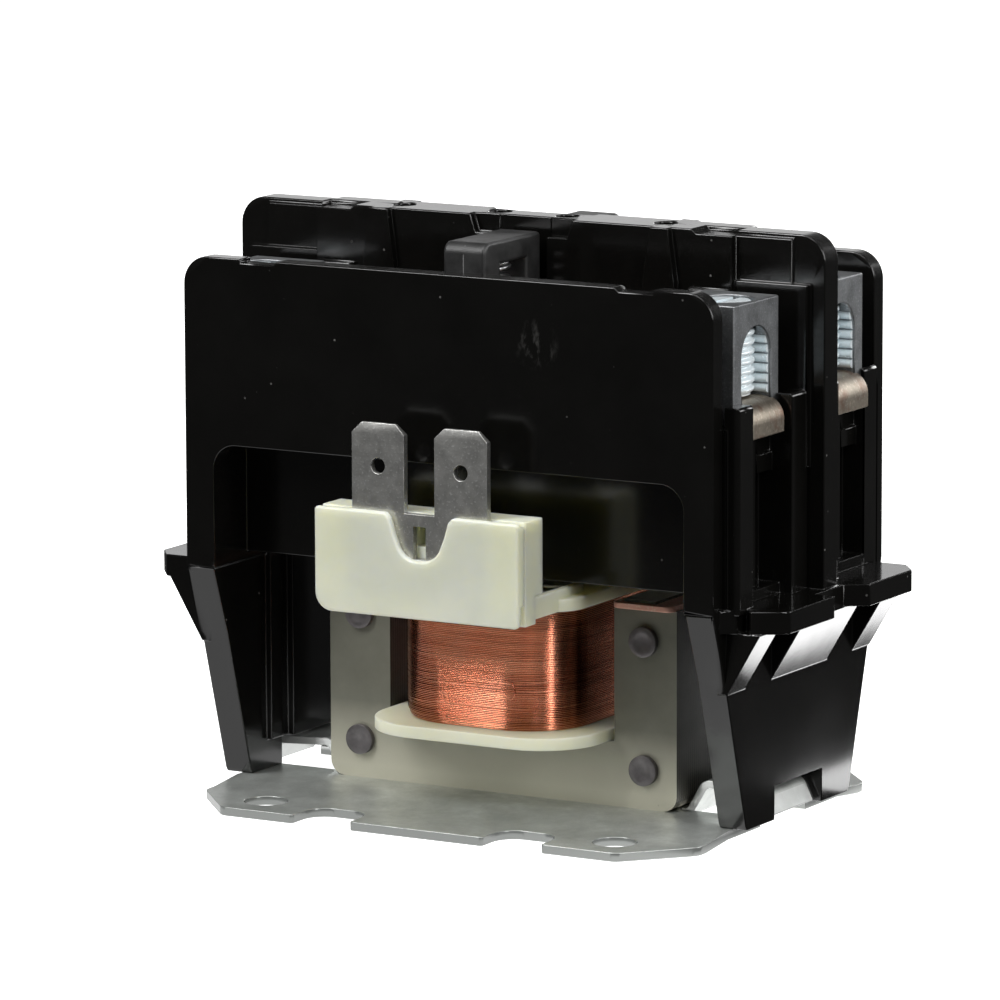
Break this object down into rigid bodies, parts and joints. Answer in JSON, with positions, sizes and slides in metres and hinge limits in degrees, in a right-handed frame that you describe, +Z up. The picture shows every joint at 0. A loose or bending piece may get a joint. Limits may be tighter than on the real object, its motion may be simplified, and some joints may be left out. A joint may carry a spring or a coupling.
{
  "type": "definite purpose contactor",
  "caption": "Open-frame contactor: black moulded housing with box lug terminals over an exposed copper coil and laminated magnet on a plated mounting plate.",
  "frame": {"origin": "centre of the footprint on the mounting surface", "axes": "+X along the long walls and the current path, +Y towards the rear pole, +Z up out of the panel"},
  "size_m": [0.0766, 0.0512, 0.0632],
  "materials": {
    "black_moulding": "glossy black moulded phenolic with fine dust and light edge wear",
    "zinc_plate": "zinc plated sheet, soft mottled sheen",
    "lamination_steel": "oiled silicon steel laminations, fine edge lines",
    "rivet_steel": "dark steel rivets",
    "copper": "bare copper",
    "natural_nylon": "natural translucent nylon",
    "enamelled_copper": "fine enamelled copper wire",
    "tinned_brass": "tinned brass, speckled grey",
    "strap_copper": "tinned copper strip",
    "silver_contact": "silver alloy contact",
    "lug_aluminium": "plated aluminium lug",
    "zinc_screw": "bright blue zinc thread",
    "spring_steel": "drawn spring steel"
  },
  "bodies": {
    "base": {"housing": "black_moulding", "mounting_plate": "zinc_plate", "magnet_core": "lamination_steel", "core_rivets": "rivet_steel", "shading_rings": "copper", "coil_bobbin": "natural_nylon", "coil_winding": "enamelled_copper", "coil_leads": "enamelled_copper", "terminal_cover_front": "natural_nylon", "terminal_cover_rear": "natural_nylon", "coil_terminal_front": "tinned_brass", "coil_terminal_rear": "tinned_brass", "fixed_contact_tips": "silver_contact", "return_springs": "spring_steel", "terminal_strap_front_right": "strap_copper", "terminal_strap_front_left": "strap_copper", "terminal_strap_rear_right": "strap_copper", "terminal_strap_rear_left": "strap_copper", "box_lug_front_right": "lug_aluminium", "box_lug_front_left": "lug_aluminium", "box_lug_rear_right": "lug_aluminium", "box_lug_rear_left": "lug_aluminium"},
    "carrier": {"contact_carrier": "black_moulding", "armature": "lamination_steel", "armature_rivets": "rivet_steel", "armature_pin": "rivet_steel", "contact_spring_front": "spring_steel", "contact_spring_rear": "spring_steel"},
    "bridge_front": {"contact_bridge_front": "strap_copper", "bridge_tips_front": "silver_contact"},
    "bridge_rear": {"contact_bridge_rear": "strap_copper", "bridge_tips_rear": "silver_contact"},
    "screw_front_right": {"clamp_screw_front_right": "zinc_screw"},
    "screw_front_left": {"clamp_screw_front_left": "zinc_screw"},
    "screw_rear_right": {"clamp_screw_rear_right": "zinc_screw"},
    "screw_rear_left": {"clamp_screw_rear_left": "zinc_screw"}
  },
  "joints": [
    {"name": "carrier_slide", "type": "slide", "parent": "base", "child": "carrier", "axis": [0, 0, 1], "range_m": [-0.0044, 0], "stiffness_N_per_m": 320, "springref_m": 0.004, "deforming": ["return_springs"]},
    {"name": "bridge_front_slide", "type": "slide", "parent": "carrier", "child": "bridge_front", "axis": [0, 0, 1], "range_m": [0, 0.0012], "deforming": ["contact_spring_front"]},
    {"name": "bridge_rear_slide", "type": "slide", "parent": "carrier", "child": "bridge_rear", "axis": [0, 0, 1], "range_m": [0, 0.0012], "deforming": ["contact_spring_rear"]},
    {"name": "screw_front_right_slide", "type": "slide", "parent": "base", "child": "screw_front_right", "axis": [0, 0, 1], "range_m": [0, 0.005]},
    {"name": "screw_front_left_slide", "type": "slide", "parent": "base", "child": "screw_front_left", "axis": [0, 0, 1], "range_m": [0, 0.005]},
    {"name": "screw_rear_right_slide", "type": "slide", "parent": "base", "child": "screw_rear_right", "axis": [0, 0, 1], "range_m": [0, 0.005]},
    {"name": "screw_rear_left_slide", "type": "slide", "parent": "base", "child": "screw_rear_left", "axis": [0, 0, 1], "range_m": [0, 0.005]}
  ],
  "couplings": [
    {"joint": "bridge_front_slide", "follows": "carrier_slide", "ratio": -0.27273},
    {"joint": "bridge_rear_slide", "follows": "carrier_slide", "ratio": -0.27273}
  ]
}
